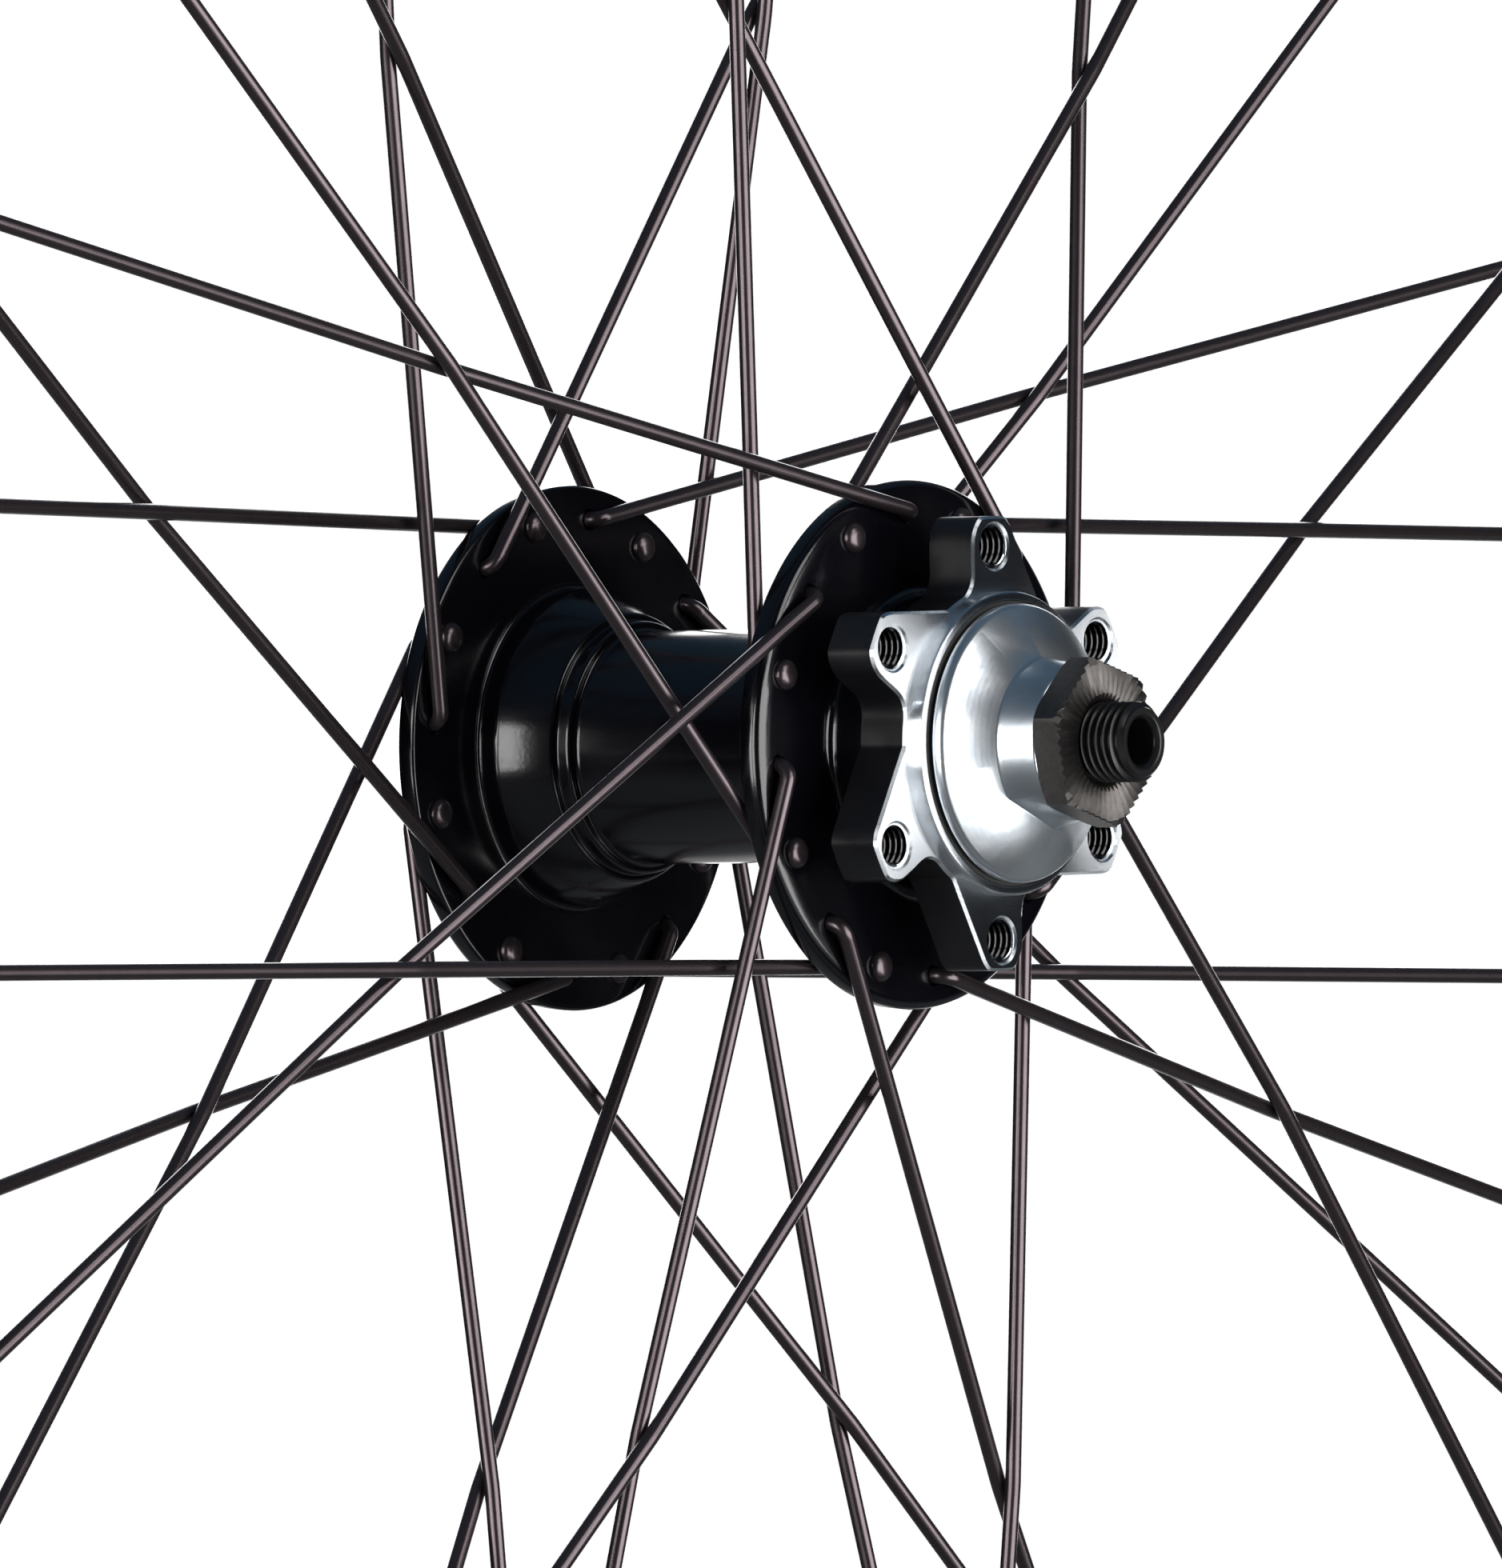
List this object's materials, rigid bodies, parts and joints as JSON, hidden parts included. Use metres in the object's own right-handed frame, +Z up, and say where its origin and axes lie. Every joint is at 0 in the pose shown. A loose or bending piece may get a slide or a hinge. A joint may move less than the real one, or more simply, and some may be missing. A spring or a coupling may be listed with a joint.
{
  "type": "bicycle front wheel",
  "caption": "Front bicycle wheel with a six-bolt disc hub on a hollow axle with cone bearings, interlaced crossed spokes and a black rim.",
  "frame": {"origin": "centre of the wheel, on the axle's axis in the rim's middle plane", "axes": "+Y along the axle, away from the brake-disc side; +Z up; +X completes the frame"},
  "size_m": [0.5709, 0.102, 0.571],
  "materials": {
    "hub_alloy": "satin black anodised, disc faces machined bare",
    "rim_alloy": "satin black anodised",
    "spoke_steel": "drawn stainless wire, black oxide",
    "nipple_brass": "black plated",
    "cone_steel": "turned and bright plated",
    "locknut_steel": "dark plated",
    "axle_steel": "black oxide",
    "bearing_steel": "ground and polished",
    "seal_rubber": "moulded, matt"
  },
  "bodies": {
    "axle_set": {"axle": "axle_steel", "disc_side_cone": "cone_steel", "disc_side_locknut": "locknut_steel", "far_side_cone": "cone_steel", "far_side_locknut": "locknut_steel"},
    "wheel": {"hub_shell": "hub_alloy", "rim": "rim_alloy", "nipples": "nipple_brass", "disc_side_cup": "bearing_steel", "disc_side_seal": "seal_rubber", "far_side_cup": "bearing_steel", "far_side_seal": "seal_rubber", "spoke_disc_outer_1": "spoke_steel", "spoke_disc_outer_2": "spoke_steel", "spoke_disc_outer_3": "spoke_steel", "spoke_disc_outer_4": "spoke_steel", "spoke_disc_outer_5": "spoke_steel", "spoke_disc_outer_6": "spoke_steel", "spoke_disc_outer_7": "spoke_steel", "spoke_disc_outer_8": "spoke_steel", "spoke_disc_inner_1": "spoke_steel", "spoke_disc_inner_2": "spoke_steel", "spoke_disc_inner_3": "spoke_steel", "spoke_disc_inner_4": "spoke_steel", "spoke_disc_inner_5": "spoke_steel", "spoke_disc_inner_6": "spoke_steel", "spoke_disc_inner_7": "spoke_steel", "spoke_disc_inner_8": "spoke_steel", "spoke_far_outer_1": "spoke_steel", "spoke_far_outer_2": "spoke_steel", "spoke_far_outer_3": "spoke_steel", "spoke_far_outer_4": "spoke_steel", "spoke_far_outer_5": "spoke_steel", "spoke_far_outer_6": "spoke_steel", "spoke_far_outer_7": "spoke_steel", "spoke_far_outer_8": "spoke_steel", "spoke_far_inner_1": "spoke_steel", "spoke_far_inner_2": "spoke_steel", "spoke_far_inner_3": "spoke_steel", "spoke_far_inner_4": "spoke_steel", "spoke_far_inner_5": "spoke_steel", "spoke_far_inner_6": "spoke_steel", "spoke_far_inner_7": "spoke_steel", "spoke_far_inner_8": "spoke_steel"},
    "disc_side_ball_set": {"disc_side_balls": "bearing_steel"},
    "far_side_ball_set": {"far_side_balls": "bearing_steel"}
  },
  "joints": [
    {"name": "wheel_spin", "type": "hinge", "parent": "axle_set", "child": "wheel", "pos_m": [0, 0, 0], "axis": [0, 1, 0], "continuous": true},
    {"name": "disc_side_balls_roll", "type": "hinge", "parent": "axle_set", "child": "disc_side_ball_set", "pos_m": [0, 0, 0], "axis": [0, 1, 0], "continuous": true},
    {"name": "far_side_balls_roll", "type": "hinge", "parent": "axle_set", "child": "far_side_ball_set", "pos_m": [0, 0, 0], "axis": [0, 1, 0], "continuous": true}
  ],
  "couplings": [
    {"joint": "disc_side_balls_roll", "follows": "wheel_spin", "ratio": 0.6},
    {"joint": "far_side_balls_roll", "follows": "wheel_spin", "ratio": 0.6}
  ]
}
